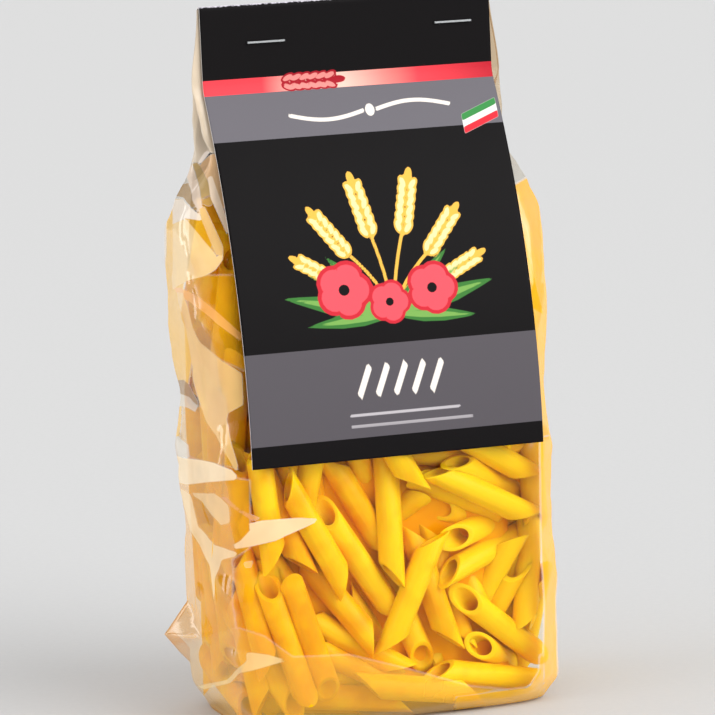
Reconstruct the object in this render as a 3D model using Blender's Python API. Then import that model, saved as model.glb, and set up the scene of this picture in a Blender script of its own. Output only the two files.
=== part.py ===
"""Packet of penne: a gusseted clear film bag, closed by a stapled header card.

Metres, +Z up, -Y towards the front, +X to the front's right. The origin is
the middle of the base, which stands flat on Z = 0.
"""

import math
import random

import bmesh
import bpy
from mathutils import Matrix, Vector

MM = 0.001

# Header card: one strip folded over the bag's mouth, its panels hanging down
# the front and the back.
CARD_WIDTH = 100 * MM
CARD_DROP = 152.6 * MM
CARD_THICK = 0.4 * MM
CARD_LOW = 88 * MM
CLAMP_DROP = 24 * MM
CARD_LEAN = math.radians(31)
LEAN_ONSET = 4 * MM
LEAN_EASE = 1.15
CARD_STEPS = 34
FOLD_STEPS = 8

# Gap that keeps touching solids apart, the stack of film in the neck, and how
# far the stack ends below the card's fold.
GAP = 0.3 * MM
NECK_THICK = 1.2 * MM
NECK_SHORT = 0.2 * MM

# Half the bag's width at a few heights, from the base to the mouth.
HALF_WIDTHS = (
    (0 * MM, 53.0 * MM),
    (9 * MM, 57.5 * MM),
    (40 * MM, 58.2 * MM),
    (60 * MM, 57.2 * MM),
    (84 * MM, 58.6 * MM),
    (104 * MM, 57.0 * MM),
    (140 * MM, 61.2 * MM),
    (162 * MM, 63.3 * MM),
    (176 * MM, 58.8 * MM),
    (190 * MM, 54.9 * MM),
    (208 * MM, 53.4 * MM),
    (236 * MM, 50.6 * MM),
)
BASE_ROUND = 7 * MM
BELLY = 0.8 * MM

# Roundness of a level section: high is a rounded box, 2 is a lens.
BOX_POWER = 6.0
LENS_POWER = 2.2
NECK_POWER = 4.0
BOX_TOP = 120 * MM
LENS_AT = 176 * MM
NECK_FROM = 212 * MM

# Side gusset: the crease that folds in above the filling.
CREASE_DEPTH = 13 * MM
CREASE_FROM = 172 * MM
CREASE_TO = 209 * MM
CREASE_SPREAD = 0.8

# Pinched edge of film along each side of the shoulder.
SHOULDER_LOW = 142 * MM
SHOULDER_HIGH = 160 * MM
PINCH_DEPTH = 9 * MM

# Folded ear of film at the left of the base.
EAR_REACH = 8.3 * MM
EAR_LOW = 12 * MM
EAR_HIGH = 40 * MM
EAR_DEPTH = 20 * MM
EAR_THICK = 2.4 * MM
EAR_PLACE = 22 * MM
EAR_ROOT = 9 * MM
EAR_TIP_AT = 0.45

# Bag mesh: points round it, levels below the card and on the rounded base
# edge, and the height where the levels come closer.
AROUND = 56
LEVELS_BELOW_CARD = 9
ROUND_LEVELS = (0.15, 0.45)
FINE_FROM = 186 * MM

# Penne
PENNE_ACROSS = 8.5 * MM
PENNE_LONG = 40 * MM
PENNE_SLANT = 0.85
PENNE_SIDES = 8
FILL_TOP = 178 * MM
CORE_INSET = 4.4 * MM
MOST_INSET = 0.6
FILM_SKIN = 0.35 * MM
SETTLE_STEPS = 4

# Where the core comes back out to the film: below the filling's top, and at
# the card's side and lower edges.
FILL_FADE = 8 * MM
SIDE_FADE = 4 * MM
LOW_FADE = 6 * MM

# Rows of penne over the film that shows, uneven by a seeded draw.
PENNE_SEED = 11
PENNE_APART = 5.6 * MM
ROWS = 8
COLUMNS = 20
ROW_TOP = 174 * MM
ANGLE_TRIES = 14
TURN_STEPS = 360
SIDE_STEP = math.radians(3)
ACROSS_JITTER = 0.25
HEIGHT_JITTER = 0.3
SAMPLES = 6
CARD_MARGIN = 9 * MM
COVERED = 0.4

# Penne that show below the card, read off the front face: the middle of each
# across and up, and its turn from upright towards +X in degrees.
FRONT_PENNE = (
    (-2.5, 62.7, 1),
    (-4.8, 92.7, 146),
    (29.8, 71.3, 117),
    (41.1, 72.7, 117),
    (33.8, 83.8, 116),
    (31.6, 61.1, 115),
    (45.2, 63.6, 73),
    (32.4, 51.2, 74),
    (3.6, 41.6, 26),
    (-13.4, 54.3, 147),
    (-15.0, 77.0, 156),
    (-31.0, 66.1, 159),
    (-48.9, 77.7, 0),
    (-41.4, 28.7, 160),
    (-31.1, 29.0, 160),
    (-25.9, 41.6, 139),
    (5.8, 9.0, 97),
    (33.5, 8.5, 108),
    (43.1, 12.3, 117),
    (41.1, 25.4, 124),
    (-0.1, 36.9, 156),
    (15.4, 42.1, 157),
    (36.5, 44.0, 153),
    (45.2, 44.7, 162),
)

# Staples: wire, size, and the middle of each crown across the card and below
# its fold.
STAPLE_SPAN = 12.7 * MM
STAPLE_WIRE = 0.6 * MM
STAPLE_CLINCH = 4.6 * MM
STAPLE_CLEAR = 0.35 * MM
HOLE_LONG = 8 * MM
STAPLES = {
    "staple_left": (-28 * MM, 12.3 * MM),
    "staple_right": (36.8 * MM, 9.8 * MM),
}

# Colours, linear, and finish
PASTA = (0.82, 0.45, 0.03, 1.0)
CARD_BLACK = (0.012, 0.011, 0.012, 1.0)
STEEL = (0.62, 0.62, 0.64, 1.0)


def clear_scene():
    for found in list(bpy.data.objects):
        bpy.data.objects.remove(found, do_unlink=True)


def material(name, colour, roughness, metallic=0.0):
    made = bpy.data.materials.new(name)
    made.use_nodes = True
    shader = made.node_tree.nodes["Principled BSDF"]
    shader.inputs["Base Color"].default_value = colour
    shader.inputs["Roughness"].default_value = roughness
    shader.inputs["Metallic"].default_value = metallic
    return made


def add_object(name, bm, finish):
    mesh = bpy.data.meshes.new(name)
    bm.to_mesh(mesh)
    bm.free()
    made = bpy.data.objects.new(name, mesh)
    made.data.materials.append(finish)
    bpy.context.scene.collection.objects.link(made)
    return made


def mix(low, high, share):
    return low + (high - low) * share


def ease(low, high, value):
    """0 below low, 1 above high and smooth between."""
    share = min(1.0, max(0.0, (value - low) / (high - low)))
    return share * share * (3 - 2 * share)


def card_lean(drop):
    """The card's lean from upright at this distance down from the fold."""
    if drop < CLAMP_DROP:
        return 0.0
    onset = min(1.0, (drop - CLAMP_DROP) / LEAN_ONSET)
    share = (drop - CLAMP_DROP) / (CARD_DROP - CLAMP_DROP)
    return CARD_LEAN * onset * (1 - share**LEAN_EASE)


def hanging_line():
    """Middle of one hanging panel as (out, height) points, top first.

    Out is the distance from the neck's middle plane."""
    step = CARD_DROP / CARD_STEPS
    out = (NECK_THICK + CARD_THICK) / 2 + GAP
    down = 0.0
    points = [(out, down)]
    for index in range(CARD_STEPS):
        angle = card_lean((index + 0.5) * step)
        out += math.sin(angle) * step
        down += math.cos(angle) * step
        points.append((out, down))
    top = CARD_LOW + down
    return [(out, top - down) for out, down in points]


HANGING = hanging_line()
FOLD_BOTTOM = HANGING[0][1]
FOLD_RADIUS = HANGING[0][0]
NECK_TOP = FOLD_BOTTOM + FOLD_RADIUS - CARD_THICK / 2 - GAP - NECK_SHORT


def half_depth(height):
    """The film's reach to the front and to the back at this height."""
    clear = CARD_THICK / 2 + GAP
    if height >= FOLD_BOTTOM:
        return NECK_THICK / 2
    if height >= CARD_LOW:
        pairs = zip(HANGING, HANGING[1:])
        for (out_high, high), (out_low, low) in pairs:
            if low <= height:
                share = (height - low) / (high - low)
                return mix(out_low, out_high, share) - clear
    swell = math.sin(math.pi * max(0.0, height) / CARD_LOW)
    reach = HANGING[-1][0] - clear + BELLY * swell
    return reach - base_rounding(height)


def base_rounding(height):
    """How far the bottom edge is rounded in at this height."""
    if height >= BASE_ROUND:
        return 0.0
    drop = BASE_ROUND - height
    return BASE_ROUND - math.sqrt(BASE_ROUND**2 - drop**2)


def half_width(height):
    pairs = zip(HALF_WIDTHS, HALF_WIDTHS[1:])
    for (low, low_width), (high, high_width) in pairs:
        if height <= high:
            return mix(low_width, high_width, ease(low, high, height))
    return HALF_WIDTHS[-1][1]


def section_power(height):
    lens = mix(BOX_POWER, LENS_POWER, ease(BOX_TOP, LENS_AT, height))
    return mix(lens, NECK_POWER, ease(LENS_AT, NECK_FROM, height))


def bag_point(turn, height, inset=0.0):
    """A point of the film, moved in by inset, at this turn round the bag."""
    wide = half_width(height) - inset
    deep = half_depth(height) - min(inset, MOST_INSET * half_depth(height))
    power = section_power(height)
    across, forth = math.cos(turn), math.sin(turn)
    size = (abs(across) ** power + abs(forth) ** power) ** (1 / power)
    across /= size
    forth /= size
    middle = (CREASE_FROM + CREASE_TO) / 2
    fold = ease(CREASE_FROM, middle, height) * (1 - ease(middle, CREASE_TO, height))
    crease = CREASE_DEPTH * fold * max(0.0, 1 - abs(forth) / CREASE_SPREAD)
    wide -= crease
    return Vector((wide * across, deep * forth, height))


def behind_card(point, margin):
    """1 where the card covers this point of the film, 0 well clear of it."""
    inside = CARD_WIDTH / 2 - margin
    sideways = 1 - ease(inside - SIDE_FADE, inside, abs(point.x))
    upwards = ease(CARD_LOW, CARD_LOW + LOW_FADE, point.z)
    return sideways * upwards


def core_inset(point):
    """Depth of the core below the film, so that penne can stand out of it."""
    filled = 1 - ease(FILL_TOP - FILL_FADE, FILL_TOP, point.z)
    raised = ease(0.0, BASE_ROUND, point.z)
    bare = 1 - behind_card(point, 0.0)
    shoulder = ease(SHOULDER_LOW, SHOULDER_HIGH, point.z)
    pinched = shoulder * (1 - ease(PINCH_DEPTH / 2, PINCH_DEPTH, abs(point.y)))
    return CORE_INSET * filled * raised * bare * (1 - pinched)


def bag_levels():
    """Heights of the bag's rings. Behind the card they share its bends."""
    rounded = [BASE_ROUND * share for share in ROUND_LEVELS]
    below = [CARD_LOW * i / LEVELS_BELOW_CARD for i in range(LEVELS_BELOW_CARD)]
    behind = [
        height
        for index, (_, height) in enumerate(reversed(HANGING))
        if index % 2 == 0 or height > FINE_FROM
    ]
    return sorted(rounded + below) + behind + [NECK_TOP]


def bag_core():
    """Film form of the bag as one closed tube, sunk where penne will show."""
    levels = bag_levels()
    bm = bmesh.new()
    bmesh.ops.create_circle(bm, segments=AROUND, radius=1.0)
    ring = bm.edges[:]
    for _ in levels[1:]:
        made = bmesh.ops.extrude_edge_only(bm, edges=ring)["geom"]
        verts = [item for item in made if isinstance(item, bmesh.types.BMVert)]
        new = set(verts)
        ring = [
            item
            for item in made
            if isinstance(item, bmesh.types.BMEdge) and new.issuperset(item.verts)
        ]
        bmesh.ops.translate(bm, verts=verts, vec=(0, 0, 1))
    for vert in bm.verts:
        turn = math.atan2(vert.co.y, vert.co.x)
        height = levels[round(vert.co.z)]
        inset = core_inset(bag_point(turn, height))
        vert.co = bag_point(turn, height, inset)
    ends = [edge for edge in bm.edges if edge.is_boundary]
    bmesh.ops.holes_fill(bm, edges=ends, sides=0)
    bmesh.ops.recalc_face_normals(bm, faces=bm.faces[:])
    return bm


def base_ear():
    """Wedge of folded film that stands out at the left of the base."""
    inner = -half_width(EAR_HIGH) + EAR_ROOT
    outer = -half_width(EAR_HIGH) - EAR_REACH
    middle = mix(EAR_LOW, EAR_HIGH, EAR_TIP_AT)
    bm = bmesh.new()
    corners = (
        (inner, EAR_PLACE - EAR_DEPTH, middle),
        (inner, EAR_PLACE, EAR_LOW),
        (outer, EAR_PLACE, middle),
        (inner, EAR_PLACE, EAR_HIGH),
    )
    verts = [bm.verts.new(corner) for corner in corners]
    far = bm.verts.new((inner, EAR_PLACE + EAR_THICK, middle))
    low, tip, high = verts[1], verts[2], verts[3]
    for start, end in ((low, tip), (tip, high)):
        bm.faces.new((verts[0], start, end))
        bm.faces.new((far, end, start))
    bm.faces.new((verts[0], high, low))
    bm.faces.new((far, low, high))
    bmesh.ops.recalc_face_normals(bm, faces=bm.faces[:])
    return bm


def kept_inside(point, inset):
    """The point, moved in where it lies nearer to the film than inset."""
    height = min(max(point.z, inset), FILL_TOP - inset)
    deep = half_depth(height)
    turn = math.atan2(point.y / deep, point.x / half_width(height))
    limit = bag_point(turn, height, inset)
    reach = math.hypot(point.x, point.y)
    most = math.hypot(limit.x, limit.y)
    share = min(1.0, most / reach) if reach > 0 else 1.0
    return Vector((point.x * share, point.y * share, height))


def penne_span(middle, along):
    """Both ends of a piece laid at middle, its tips kept under the film."""
    inset = PENNE_ACROSS / 2 + FILM_SKIN
    tip = PENNE_LONG / 2 + PENNE_SLANT * PENNE_ACROSS / 2
    for _ in range(SETTLE_STEPS):
        half = along.normalized() * tip
        start = kept_inside(middle - half, inset)
        end = kept_inside(middle + half, inset)
        middle = kept_inside((start + end) / 2, inset)
        along = end - start
    half = along.normalized() * (PENNE_LONG / 2)
    return middle - half, middle + half


def front_spans():
    spans = []
    for across, height, turn in FRONT_PENNE:
        angle = math.radians(turn)
        along = Vector((math.sin(angle), 0, math.cos(angle)))
        middle = Vector((across * MM, -half_depth(height * MM), height * MM))
        spans.append(penne_span(middle, along))
    return spans


def samples(span):
    start, end = span
    return [start.lerp(end, i / SAMPLES) for i in range(SAMPLES + 1)]


def clear_of(span, placed):
    mine = samples(span)
    for other in placed:
        for spot in samples(other):
            if any((spot - point).length < PENNE_APART for point in mine):
                return False
    return True


def turn_table():
    """Turns round the bag, and the film's length up to each one."""
    turns = [2 * math.pi * i / TURN_STEPS for i in range(TURN_STEPS + 1)]
    spots = [bag_point(turn, ROW_TOP / 2) for turn in turns]
    lengths = [0.0]
    for before, after in zip(spots, spots[1:]):
        lengths.append(lengths[-1] + (after - before).length)
    return turns, lengths


def turn_at(share, table):
    """The turn that lies this share of the way round along the film."""
    turns, lengths = table
    wanted = (share % 1.0) * lengths[-1]
    index = next(i for i, length in enumerate(lengths) if length >= wanted)
    return turns[index]


def thrown_span(turn, height, angle):
    middle = bag_point(turn, height)
    before = bag_point(turn - SIDE_STEP, height)
    after = bag_point(turn + SIDE_STEP, height)
    side = (after - before).normalized()
    along = side * math.sin(angle) + Vector((0, 0, math.cos(angle)))
    return penne_span(middle, along)


def scattered_spans(placed):
    """Penne in uneven rows over the rest of the film that shows."""
    draw = random.Random(PENNE_SEED)
    table = turn_table()
    spans = list(placed)
    for row in range(ROWS):
        for column in range(COLUMNS):
            across = column + 0.5 * (row % 2) + draw.uniform(-ACROSS_JITTER, ACROSS_JITTER)
            uneven = draw.uniform(-HEIGHT_JITTER, HEIGHT_JITTER)
            height = ROW_TOP * (row + 0.5 + uneven) / ROWS
            turn = turn_at(across / COLUMNS, table)
            angles = [draw.uniform(0, math.pi) for _ in range(ANGLE_TRIES)]
            for angle in angles:
                span = thrown_span(turn, height, angle)
                inner = samples(span)[1:SAMPLES]
                hidden = any(behind_card(spot, CARD_MARGIN) > COVERED for spot in inner)
                if not hidden and clear_of(span, spans):
                    spans.append(span)
                    break
    return spans[len(placed):]


def penne(span, roll):
    """One solid quill: a cylinder whose ends are cut on the slant."""
    start, end = span
    bm = bmesh.new()
    bmesh.ops.create_cone(
        bm,
        cap_ends=True,
        segments=PENNE_SIDES,
        radius1=PENNE_ACROSS / 2,
        radius2=PENNE_ACROSS / 2,
        depth=PENNE_LONG,
    )
    for vert in bm.verts:
        vert.co.z += vert.co.x * PENNE_SLANT
    turn = (end - start).to_track_quat("Z", "Y").to_matrix().to_4x4()
    place = Matrix.Translation((start + end) / 2) @ turn @ Matrix.Rotation(roll, 4, "Z")
    bmesh.ops.transform(bm, matrix=place, verts=bm.verts[:])
    return bm


def apply_modifiers(made):
    graph = bpy.context.evaluated_depsgraph_get()
    shaped = bpy.data.meshes.new_from_object(made.evaluated_get(graph))
    made.modifiers.clear()
    made.data = shaped


def drop_scraps(made):
    """Keeps the largest connected shell of a mesh and removes the others."""
    bm = bmesh.new()
    bm.from_mesh(made.data)
    left = set(bm.verts)
    shells = []
    while left:
        shell = {left.pop()}
        edge = list(shell)
        while edge:
            vert = edge.pop()
            for link in vert.link_edges:
                other = link.other_vert(vert)
                if other in left:
                    left.remove(other)
                    shell.add(other)
                    edge.append(other)
        shells.append(shell)
    largest = max(shells, key=len)
    scraps = [vert for shell in shells if shell is not largest for vert in shell]
    bmesh.ops.delete(bm, geom=scraps, context="VERTS")
    bm.to_mesh(made.data)
    bm.free()


def make_bag():
    """The bag as one solid: its film form with the penne that show fused on."""
    pasta = material("pasta_under_film", PASTA, 0.35)
    bag = add_object("bag", bag_core(), pasta)
    pieces = bpy.data.collections.new("pieces_to_join")
    bpy.context.scene.collection.children.link(pieces)
    front = front_spans()
    draw = random.Random(PENNE_SEED + 1)
    shapes = [base_ear()]
    for span in front + scattered_spans(front):
        shapes.append(penne(span, draw.uniform(0, 2 * math.pi)))
    for shape in shapes:
        piece = add_object("piece", shape, pasta)
        pieces.objects.link(piece)
        bpy.context.scene.collection.objects.unlink(piece)
    join = bag.modifiers.new("join", "BOOLEAN")
    join.operation = "UNION"
    join.operand_type = "COLLECTION"
    join.collection = pieces
    join.solver = "EXACT"
    apply_modifiers(bag)
    for piece in list(pieces.objects):
        bpy.data.objects.remove(piece, do_unlink=True)
    bpy.data.collections.remove(pieces)
    drop_scraps(bag)
    return bag


def card_line():
    """Middle of the whole card as (y, z) points, front edge to back edge."""
    front = [(-out, height) for out, height in reversed(HANGING)]
    fold = []
    for index in range(1, FOLD_STEPS):
        angle = math.pi * index / FOLD_STEPS
        y = -FOLD_RADIUS * math.cos(angle)
        z = FOLD_BOTTOM + FOLD_RADIUS * math.sin(angle)
        fold.append((y, z))
    back = [(out, height) for out, height in HANGING]
    return front + fold + back


def make_card():
    """The folded header card: a line swept across, then given its thickness."""
    bm = bmesh.new()
    verts = [bm.verts.new((-CARD_WIDTH / 2, y, z)) for y, z in card_line()]
    edges = [bm.edges.new(pair) for pair in zip(verts, verts[1:])]
    made = bmesh.ops.extrude_edge_only(bm, edges=edges)["geom"]
    swept = [item for item in made if isinstance(item, bmesh.types.BMVert)]
    bmesh.ops.translate(bm, verts=swept, vec=(CARD_WIDTH, 0, 0))
    bmesh.ops.recalc_face_normals(bm, faces=bm.faces[:])
    card = add_object("header_card", bm, material("printed_card", CARD_BLACK, 0.4))
    wall = card.modifiers.new("thickness", "SOLIDIFY")
    wall.thickness = CARD_THICK
    wall.offset = 0.0
    wall.use_even_offset = True
    return card


def staple_outline(clear):
    """Staple seen from above, as (x, y) corners, grown all round by clear."""
    face = FOLD_RADIUS + CARD_THICK / 2
    near = face + GAP - clear
    far = face + GAP + STAPLE_WIRE + clear
    outer = STAPLE_SPAN / 2 + clear
    inner = STAPLE_SPAN / 2 - STAPLE_WIRE - clear
    tip = STAPLE_SPAN / 2 - STAPLE_CLINCH
    right = [(tip, far), (tip, near), (inner, near), (inner, -near)]
    left = [(-x, y) for x, y in reversed(right)]
    crown = [(-outer, -far), (outer, -far)]
    return right + left + [(-outer, far)] + crown + [(outer, far)]


def staple_shape(middle, drop):
    """Bent wire: crown in front, legs through the stack, clinched behind."""
    bm = bmesh.new()
    z = FOLD_BOTTOM + FOLD_RADIUS - drop - STAPLE_WIRE / 2
    verts = [bm.verts.new((middle + x, y, z)) for x, y in staple_outline(0.0)]
    face = bm.faces.new(verts)
    made = bmesh.ops.extrude_face_region(bm, geom=[face])["geom"]
    top = [item for item in made if isinstance(item, bmesh.types.BMVert)]
    bmesh.ops.translate(bm, verts=top, vec=(0, 0, STAPLE_WIRE))
    bmesh.ops.triangulate(bm, faces=bm.faces[:])
    bmesh.ops.recalc_face_normals(bm, faces=bm.faces[:])
    return bm


def leg_cutter(middle, drop):
    """Square hole that a staple leg passes through, right through the stack."""
    bm = bmesh.new()
    across = STAPLE_WIRE + 2 * STAPLE_CLEAR
    bmesh.ops.create_cube(bm, size=1.0)
    bmesh.ops.scale(bm, vec=(across, HOLE_LONG, across), verts=bm.verts[:])
    z = FOLD_BOTTOM + FOLD_RADIUS - drop
    bmesh.ops.translate(bm, vec=(middle, 0, z), verts=bm.verts[:])
    return bm


def make_staples(pierced):
    """Both staples, and the holes that their legs make in the pierced pieces."""
    steel = material("staple_wire", STEEL, 0.3, 1.0)
    holes = bpy.data.collections.new("leg_holes")
    bpy.context.scene.collection.children.link(holes)
    for name, (middle, drop) in STAPLES.items():
        add_object(name, staple_shape(middle, drop), steel)
        reach = (STAPLE_SPAN - STAPLE_WIRE) / 2
        for side in (-reach, reach):
            hole = add_object(name + "_hole", leg_cutter(middle + side, drop), steel)
            holes.objects.link(hole)
            bpy.context.scene.collection.objects.unlink(hole)
            hole.hide_render = True
            hole.display_type = "WIRE"
    for piece in pierced:
        cut = piece.modifiers.new("leg_holes", "BOOLEAN")
        cut.operation = "DIFFERENCE"
        cut.operand_type = "COLLECTION"
        cut.collection = holes
        cut.solver = "EXACT"


clear_scene()
bag = make_bag()
card = make_card()
make_staples([bag, card])
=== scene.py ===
"""Looks of the packet of penne: film, pasta, header card, staples, light and camera.

Metres, +Z up, -Y towards the front. The film, the penne and the card follow the
same form as the CAD solids, whose driving dimensions are repeated here.
"""

import math
import random

import bmesh
import bpy
import numpy as np
from mathutils import Matrix, Vector


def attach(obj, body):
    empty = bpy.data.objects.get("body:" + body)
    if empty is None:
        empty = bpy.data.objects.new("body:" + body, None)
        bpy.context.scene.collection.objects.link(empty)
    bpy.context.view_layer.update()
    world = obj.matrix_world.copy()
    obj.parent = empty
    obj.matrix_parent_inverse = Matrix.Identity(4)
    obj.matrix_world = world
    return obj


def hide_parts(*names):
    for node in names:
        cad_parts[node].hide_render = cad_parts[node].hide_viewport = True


MM = 0.001

# Header card: one strip folded over the bag's mouth.
CARD_WIDTH = 100 * MM
CARD_DROP = 152.6 * MM
CARD_THICK = 0.4 * MM
CARD_LOW = 88 * MM
CLAMP_DROP = 24 * MM
CARD_LEAN = math.radians(31)
LEAN_ONSET = 4 * MM
LEAN_EASE = 1.15
CARD_STEPS = 68
CARD_COLUMNS = 125
FRONT_ROWS = 190
BACK_ROWS = 34
FOLD_STEPS = 12
GAP = 0.3 * MM
NECK_THICK = 1.2 * MM
NECK_SHORT = 0.2 * MM

# Half the bag's width at a few heights, from the base to the mouth.
HALF_WIDTHS = (
    (0 * MM, 53.0 * MM),
    (9 * MM, 57.5 * MM),
    (40 * MM, 58.2 * MM),
    (60 * MM, 57.2 * MM),
    (84 * MM, 58.6 * MM),
    (104 * MM, 57.0 * MM),
    (140 * MM, 61.2 * MM),
    (162 * MM, 63.3 * MM),
    (176 * MM, 58.8 * MM),
    (190 * MM, 54.9 * MM),
    (208 * MM, 53.4 * MM),
    (236 * MM, 50.6 * MM),
)
BASE_ROUND = 7 * MM
BELLY = 0.8 * MM
MOST_INSET = 0.6

# Roundness of a level section, and the side crease above the filling.
BOX_POWER = 6.0
LENS_POWER = 3.2
NECK_POWER = 8.0
BOX_TOP = 120 * MM
LENS_AT = 176 * MM
NECK_FROM = 212 * MM
CREASE_DEPTH = 13 * MM
CREASE_FROM = 172 * MM
CREASE_TO = 209 * MM
CREASE_SPREAD = 0.8

# Film mesh, and the height at which its columns are spaced evenly.
FILM_COLUMNS = 360
FILM_ROWS = 236
ROUND_ROWS = 8
SPACING_HEIGHT = 60 * MM
FINE_TURNS = 2000

# Penne
PENNE_ACROSS = 8.5 * MM
PENNE_WALL = 1.25 * MM
PENNE_LONG = 37 * MM
PENNE_SLANT = 1.2
# Painted light: pieces on the right are painted paler, standing in for the key light from
# the right; how much of a piece's tone that decides.
LIT_SIDE_SHARE = 0.55
LIT_SIDE_REACH = 40 * MM
FINE_SIDES = 28
PLAIN_SIDES = 16
RIM_ROUND = 0.25 * MM
RIM_STEPS = 2
SAME_LEVEL = 0.1 * MM
SHARP_ANGLE = math.radians(38)
FILL_TOP = 176 * MM
FILM_SKIN = 0.35 * MM

# Penne that show below the card: middle across and up (mm), turn from upright
# towards +X, which way the slant faces (0 opens the left end towards the
# viewer, 180 the right one) and both ends' depth below the film (mm).
FRONT_PENNE = (
    (-1.9, 65.9, 4, -90, 0.0, 2.6),
    (-13.9, 54.9, 147, 15, 0.5, 2.7),
    (3.5, 41.7, 27, 80, 0.5, 0.0),
    (33.0, 71.8, 117, -90, 2.0, 0.5),
    (43.2, 74.4, 114, -90, 3.0, 14.2),
    (36.5, 85.4, 118, -90, 4.9, 1.0),
    (32.9, 60.2, 116, 15, 4.0, 13.5),
    (43.8, 59.3, 85, -10, 0.5, 20.8),
    (38.3, 50.2, 80, -90, 0.5, 15.0),
    (49.1, 42.8, 171, 100, 24.1, 5.0),
    (39.4, 43.4, 164, 100, 12.6, 10.0),
    (39.7, 26.5, 125, 10, 0.0, 12.0),
    (41.7, 13.6, 118, 0, 1.0, 17.0),
    (32.4, 8.3, 105, -90, 0.0, 5.3),
    (39.4, 5.5, 88, 90, 7.0, 7.0),
    (6.3, 9.3, 98, 90, 0.0, 0.0),
    (12.3, 41.8, 166, -90, 6.7, 1.5),
    (19.1, 40.7, 167, -90, 10.0, 4.0),
    (3.1, 35.6, 163, 180, 7.8, 1.5),
    (-15.4, 26.1, 123, -90, 9.4, 2.0),
    (-29.2, 64.1, 151, 90, 1.0, 2.6),
    (-10.5, 70.2, 151, -90, 5.0, 6.5),
    (-2.3, 94.0, 152, -90, 2.6, 0.0),
    (23.2, 83.2, 103, -90, 4.5, 5.0),
    (2.9, 53.4, 34, 90, 9.6, 5.0),
    (-20.9, 41.5, 145, 90, 10.7, 1.0),
    (-32.4, 30.1, 162, 180, 0.5, 0.5),
    (51.9, 15.5, 177, 90, 10.0, 7.3),
    (-41.9, 30.4, 160, 0, 0.0, 0.8),
    (-38.4, 71.2, 163, -90, 4.0, 5.2),
    (-48.2, 75.5, 171, 90, 1.5, 2.0),
    (-32.8, 42.3, 139, 90, 7.0, 10.6),
    (-52.0, 40.3, 166, 90, 2.0, 1.4),
    (-5.1, 24.3, 147, 90, 8.0, 3.5),
    (-11.8, 41.7, 167, 90, 8.0, 8.0),
    (-51.6, 16.1, 150, 160, 3.0, -4.0),
    (-18.4, 7.1, 97, 90, 6.0, 5.0),
)

# The rest of the filling: seeded places, pushed apart. The heap is too full to free
# them, so many overlap.
FILL_SEED = 29
FILL_PIECES = 215
SETTLE_ROUNDS = 260
CLOSING_ROUNDS = 12
SHELL_DEPTH = 17 * MM
CORE_DEPTH = 14 * MM
SIDE_SHARE = 0.5
CORNER_SHARE = 0.15
CORNER_INSET = 3 * MM
CORNER_TURNS = (-36, 36, 144, 216)
OPEN_CORNER = -36
CORNER_LEVELS = 5
CORNER_LOW = 24 * MM
CORNER_STEP = 32 * MM
CORNER_LEAN = 0.2
CARD_CLEAR = 2 * MM
SIDE_CLEAR = 0.3 * MM
LOOSE_PULL = 0.02
STEEPEST = 1.35
SIDE_SPREAD = 0.9
HIDDEN_FROM = 106 * MM
HIDDEN_WIDE = 38 * MM
HOME_PULL = (0.3, 0.05, 0.3)
HELD_YIELD = (0.15, 1.0, 0.15)
FRONT_LAYER = 7.5 * MM
FRONT_LAYER_TOP = 96 * MM
FRONT_LAYER_WIDE = 49 * MM
SHELL_LIMIT = 12 * MM
TIP_REACH = PENNE_LONG / 2 + 3.8 * MM
# How pieces are drawn and pushed (the step out of the heart in mm), and numbers small
# enough to count as nothing. The heap moves by millimetres if a last digit changes here.
DRAWS_PER_PIECE = 3
CORNER_SCATTER = 0.08
CORNER_TILT = 0.35
OUTWARD_TILT = 0.25
THROW_LOW = 6 * MM
THROW_TOP = FILL_TOP - 8 * MM
HELD_SHARE = 0.1
PUSH_SHARE = 0.9
HEART_STEP = 3
SLOPE_STEP = 1 * MM
THINNEST = 1 * MM
SMALLEST_GAP = 1e-7
FAINT = 1e-9
TINY = 1e-12
FRONT_SEED = 5
LOOSE_SEED = 6

# Core of the filling: mesh, how near the base and the top it reaches, and its lumps.
CORE_COLUMNS = 48
CORE_ROWS = 30
CORE_FOOT = CORE_DEPTH * 0.6
CORE_HEAD = FILL_TOP - CORE_DEPTH * 0.8
CORE_LUMP = 1.5 * MM
LUMPS_ROUND = 5
LUMP_TWIST = 90
LUMP_STACK = 160
CORE_WELD = 0.01 * MM

# Camera, matched to the card's edges and bands. They leave its turn and rise open by
# several degrees; these were picked.
IMAGE_SIDE = 715
SENSOR = 36.0
CAMERA_LENS = 228.63
CAMERA_TURN = math.radians(18)
CAMERA_RISE = math.radians(8)
CAMERA_ROLL = math.radians(2.602)
CAMERA_AWAY = 1505.1 * MM
CAMERA_AIM = Vector((-1.42 * MM, -1.5 * MM, 116.27 * MM))
CLIP_FAR = 30.0

# Painted shapes: a distance that is surely outside, and how far round one to look.
FAR_OFF = 1000.0
PAINT_MARGIN = 8

BACKDROP = "#DEDEDE"
# Brightness of the room in reflections, against the backdrop's.
MIRRORED_ROOM = 0.12
ROOM_LIGHT = 1.3
# Suns as (name, turn, rise, strength, spread), lit panels as (name, place, size, power).
SUNS = (("key", 38, 29, 2.1, 50), ("fill", -88, 9, 1.35, 60))
PANELS = (
    ("left_panel", (-1.0, 0.9, 0.4), (0.25, 0.9), 1.2),
    ("right_panel", (1.1, -0.9, 0.9), (0.4, 0.7), 4),
)
FLOOR_HALF = 10.0
FLOOR_DROP = 0.05 * MM

# How sRGB codes turn to linear light.
SRGB_KNEE = 0.04045
SRGB_SLOPE = 12.92
SRGB_LIFT = 0.055
SRGB_POWER = 2.4

# Folded corner that sticks out at the lower left: reach, middle and half its spread.
EAR_OUT = 9.0 * MM
EAR_BACK = 20 * MM
EAR_UP = 26 * MM
EAR_DEEP = 15 * MM
EAR_HIGH = 11 * MM

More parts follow.
